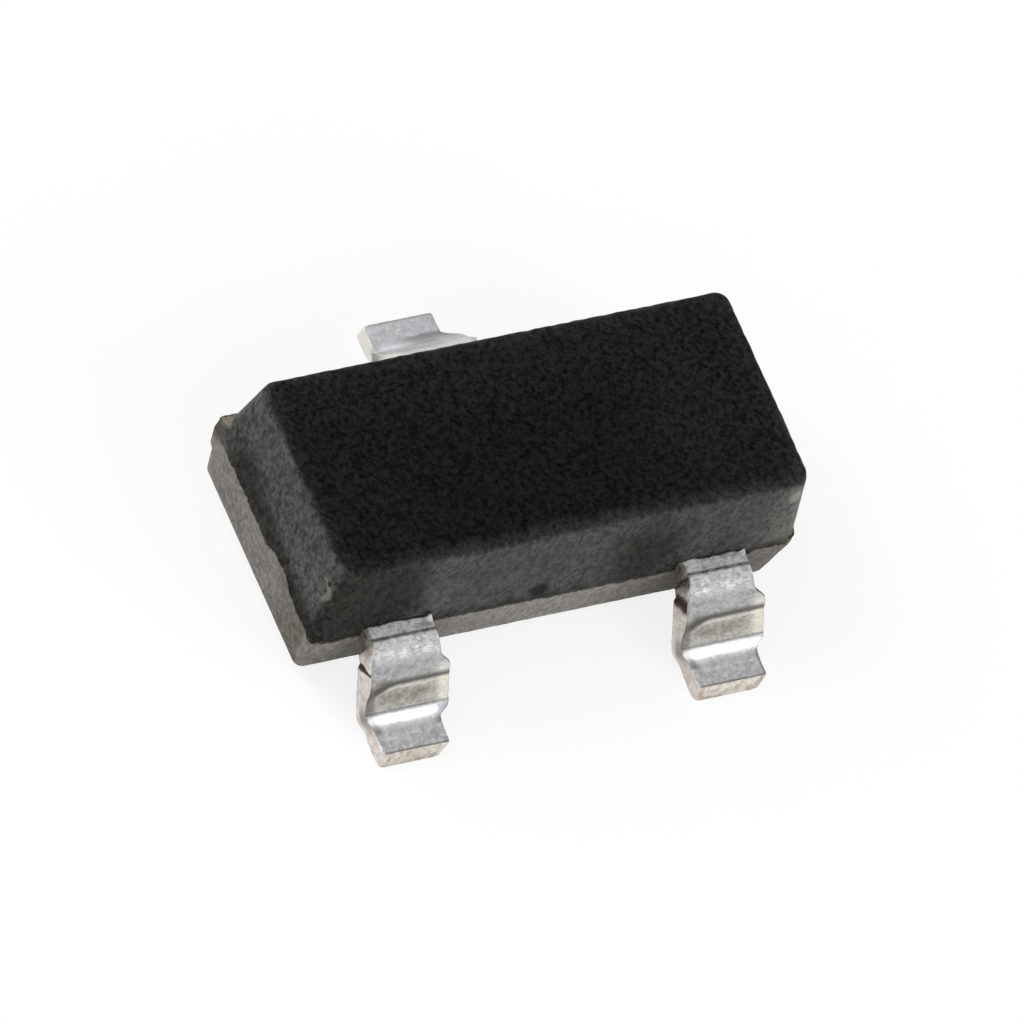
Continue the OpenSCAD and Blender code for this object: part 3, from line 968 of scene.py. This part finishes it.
# Brown stain, darkened with painted shade
BROWN_STAIN_AND_SHADE = ((0.030, 0.018, 0.013), (0.085, 0.048, 0.036))
ROLLED_SIDE = ((0.20, 0.195, 0.18), (0.36, 0.35, 0.33))
SIDE_AT_BODY = ((0.115, 0.105, 0.080), (0.230, 0.215, 0.175))


def leg_stain_and_shade(g, s, up, second):
    """A slanting brown stain across the sheared side of the leg, wider on the second lead: bare copper,
    darkened with painted shade in the corner where the strip widens.
    """
    patchy = g.minus(g.noise(0.04, 2.0, 0.5, 6.0), 0.5)
    slanting = g.minus(s, g.times(up, 0.35))
    off = g.math("ABSOLUTE", g.minus(slanting, g.lerp(second, 0.287, 0.279)))
    half = g.lerp(second, g.lerp(g.smooth(-0.04, 0.05, up), 0.026, 0.010), 0.058)
    return g.smooth(1.20, 0.30, g.plus(g.math("DIVIDE", off, half), patchy))


def sheared_material():
    """The sheared sides and ends of the copper alloy strip, thinly smeared with tin and stained brown, the
    stain darkened with painted shade, and the rear lead's sides painted paler as painted light.
    """
    g = Graph("sheared_copper")
    s, up = g.mark("along"), g.mark("up")
    fine = g.smooth(0.28, 0.72, g.noise(0.022, 4.0, 0.7, 4.0))
    smear = g.smooth(0.34, 0.62, g.noise(0.05, 3.0, 0.6, 5.0))
    second = g.smooth(-0.1, 0.1, g.x)
    rear = g.smooth(0.0, 0.5, g.y)
    # The brown stain, darkened with painted shade
    stain = g.times(leg_stain_and_shade(g, s, up, second), g.minus(1.0, rear))
    rolled = g.times(g.band(0.56, 0.14, s), g.smooth(-0.026, 0.006, up))
    near_body = g.smooth(0.205, 0.150, g.minus(s, g.times(second, 0.030)))
    tip = g.smooth(S_TIP - 0.008, S_TIP - 0.002, s)
    base = g.mix(smear, *BARE_SIDE)
    base = g.mix(g.times(fine, 0.30), base, SIDE_GRAIN)
    # Painted light: the rear lead's sides painted paler
    base = g.mix(g.times(rear, 0.7), base, REAR_SIDE_LIT)
    base = g.mix(tip, base, g.mix(smear, *BARE_TIP))
    base = g.mix(stain, base, g.mix(fine, *BROWN_STAIN_AND_SHADE))
    base = g.mix(g.times(rolled, 0.9), base, g.mix(fine, *ROLLED_SIDE))
    base = g.mix(near_body, base, g.mix(fine, *SIDE_AT_BODY))
    g.bump(fine, 0.005, 0.6)
    return g.finish(base, g.lerp(fine, 0.40, 0.55), 0.7)


def die_material():
    """Polished silicon, sawn on its sides, with metal pads on its face."""
    g = Graph("silicon")
    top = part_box("silicon_die")[1].z / MM
    fine = g.noise(0.006, 2.0, 0.6, 1.0)
    pads = g.smooth(top - 0.004, top - 0.002, g.z)
    side = g.smooth(top - 0.005, top - 0.012, g.z)
    base = g.mix(fine, (0.10, 0.12, 0.16), (0.16, 0.18, 0.22))
    base = g.mix(pads, base, (0.80, 0.79, 0.77))
    g.bump(g.times(side, fine), 0.002, 0.5)
    return g.finish(base, g.lerp(side, 0.15, 0.45), 1.0)


def glue_material():
    """Silver-filled glue."""
    g = Graph("silver_glue")
    flakes = g.noise(0.008, 3.0, 0.6, 2.0)
    base = g.mix(flakes, (0.36, 0.35, 0.33), (0.62, 0.61, 0.58))
    g.bump(flakes, 0.003, 0.6)
    return g.finish(base, g.lerp(flakes, 0.4, 0.65), 0.6)


def gold_material():
    """Drawn gold wire."""
    g = Graph("gold_wire")
    fine = g.noise(0.005, 2.0, 0.5, 3.0)
    base = g.mix(fine, (0.78, 0.56, 0.20), (0.90, 0.70, 0.32))
    g.bump(fine, 0.001, 0.5)
    return g.finish(base, g.lerp(fine, 0.2, 0.35), 1.0)


def assign(node, material):
    """Gives a carried-over CAD node its material."""
    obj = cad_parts[node]
    if not obj.material_slots:
        obj.data.materials.append(material)
    for slot in obj.material_slots:
        slot.material = material


# Studio

FLOOR_HALF = 80.0
FLOOR_SHARE = 0.76
FLOOR_GLOW = 1.08
HORIZON = 0.74
CEILING = 0.26
CEILING_EDGES = (0.40, 0.90)
CEILING_WAY = Vector((0.45, 0.40, 0.80)).normalized()


def floor_material():
    """White paper, lit by the lamps, and as bright as the photograph's background to the camera."""
    g = Graph("white_paper")
    tree = g.tree
    g.finish(g.mix(g.noise(0.5), (0.89, 0.89, 0.89), (0.91, 0.91, 0.91)), 0.9)
    g.shader.inputs["Specular IOR Level"].default_value = 0.0
    glow = tree.nodes.new("ShaderNodeEmission")
    glow.inputs["Strength"].default_value = FLOOR_GLOW
    rays = tree.nodes.new("ShaderNodeLightPath")
    seen = [rays.outputs[kind] for kind in ("Is Camera Ray", "Is Glossy Ray", "Is Transmission Ray")]
    mix = tree.nodes.new("ShaderNodeMixShader")
    tree.links.new(g.times(g.most(*seen), FLOOR_SHARE), mix.inputs[0])
    tree.links.new(g.shader.outputs[0], mix.inputs[1])
    tree.links.new(glow.outputs[0], mix.inputs[2])
    tree.links.new(mix.outputs[0], tree.nodes["Material Output"].inputs["Surface"])
    return g.material


def make_floor():
    corners = [(sx * FLOOR_HALF, sy * FLOOR_HALF, 0) for sx, sy in CORNERS]
    mesh_object("floor", corners, [(0, 1, 2, 3)], [floor_material()])


def make_world():
    """Pale studio walls, with a darker ceiling towards the back right."""
    world = bpy.data.worlds.new("studio")
    scene.world = world
    world.use_nodes = True
    nodes, links = world.node_tree.nodes, world.node_tree.links
    where = nodes.new("ShaderNodeTexCoord")
    dot = nodes.new("ShaderNodeVectorMath")
    dot.operation = "DOT_PRODUCT"
    dot.inputs[1].default_value = CEILING_WAY
    links.new(where.outputs["Generated"], dot.inputs[0])
    ramp = nodes.new("ShaderNodeMapRange")
    ramp.interpolation_type = "SMOOTHSTEP"
    for name, end in zip(("From Min", "From Max", "To Min", "To Max"), (*CEILING_EDGES, HORIZON, CEILING)):
        ramp.inputs[name].default_value = end
    links.new(dot.outputs["Value"], ramp.inputs["Value"])
    links.new(ramp.outputs["Result"], nodes["Background"].inputs["Strength"])
    nodes["Background"].inputs["Color"].default_value = (1, 1, 1, 1)


def area_light(name, place, size, brightness, aim=(0, 0, 0.4)):
    """A square lamp; brightness 1 makes it look white where it is reflected."""
    data = bpy.data.lights.new(name, "AREA")
    data.size = size * MM
    data.energy = brightness * math.pi * (size * MM) ** 2
    lamp = bpy.data.objects.new(name, data)
    lamp.location = Vector(place) * MM
    lamp.rotation_mode = "QUATERNION"
    lamp.rotation_quaternion = (Vector(aim) - Vector(place)).to_track_quat("-Z", "Y")
    scene.collection.objects.link(lamp)


# Camera, from a fit to the photograph's edges
PHOTO_SIZE = 1024
PX_PER_MM = 189.63
CAMERA_FAR = 117.0
SENSOR = 36
CAMERA_RIGHT = Vector((0.8737, -0.3784, 0.3056))
CAMERA_FORWARD = Vector((0.4518, 0.3985, -0.7982))
PARTING_PX = (506.05, 485.7)


def make_camera():
    """The middle of the parting plane shows at PARTING_PX in the photograph."""
    forward = CAMERA_FORWARD.normalized()
    right = (CAMERA_RIGHT - CAMERA_RIGHT.dot(forward) * forward).normalized()
    down = forward.cross(right)
    aim = Vector((0, 0, PARTING))
    aim += right * (PHOTO_SIZE / 2 - PARTING_PX[0]) / PX_PER_MM
    aim += down * (PHOTO_SIZE / 2 - PARTING_PX[1]) / PX_PER_MM
    data = bpy.data.cameras.new("camera")
    data.sensor_width = SENSOR
    data.lens = SENSOR * PX_PER_MM * CAMERA_FAR / PHOTO_SIZE
    data.clip_start = 0.001
    data.clip_end = 10
    camera = bpy.data.objects.new("camera", data)
    turn = Matrix((right, -down, -forward)).transposed()
    camera.matrix_world = Matrix.Translation((aim - forward * CAMERA_FAR) * MM) @ turn.to_4x4()
    scene.collection.objects.link(camera)
    scene.camera = camera


make_body(moulding_material())

sheared = sheared_material()
# Two copies of one tin plate, lit differently: the rear lead's copy is painted paler, and each lead gets its
# own share of painted light
front_lit_tin = tin_material("tin_plate", (0.68, 0.68, 0.69), (0.93, 0.93, 0.94), wear=1.0, metallic=0.6)
rear_lit_tin = tin_material("rear_lit_tin_plate", (0.86, 0.87, 0.90), (0.98, 0.985, 1.0), wear=0.25, metallic=0.5)
make_lead("base_lead", -LEAD_PITCH / 2, FRONT, 10, [front_lit_tin, sheared],
          FRONT_LEFT, BASE_RIGHT, corners=(0.070, 0.014))
make_lead("emitter_lead", LEAD_PITCH / 2, FRONT, 20, [front_lit_tin, sheared],
          FRONT_LEFT, EMITTER_RIGHT, corners=(0.055, 0.018))
make_lead("collector_lead", 0.0, REAR, 30, [rear_lit_tin, sheared],
          REAR_LEFT, COLLECTOR_RIGHT, corners=(0.012, 0.012))

assign("silicon_die", die_material())
assign("die_attach", glue_material())
gold = gold_material()
assign("base_bond_wire", gold)
assign("emitter_bond_wire", gold)

make_floor()
make_world()
area_light("front_right", place=(27, -45, 27), size=30, brightness=3.0)
area_light("rear_left", place=(-30, 30, 42), size=36, brightness=2.9)
make_camera()
scene.view_settings.view_transform = "Standard"
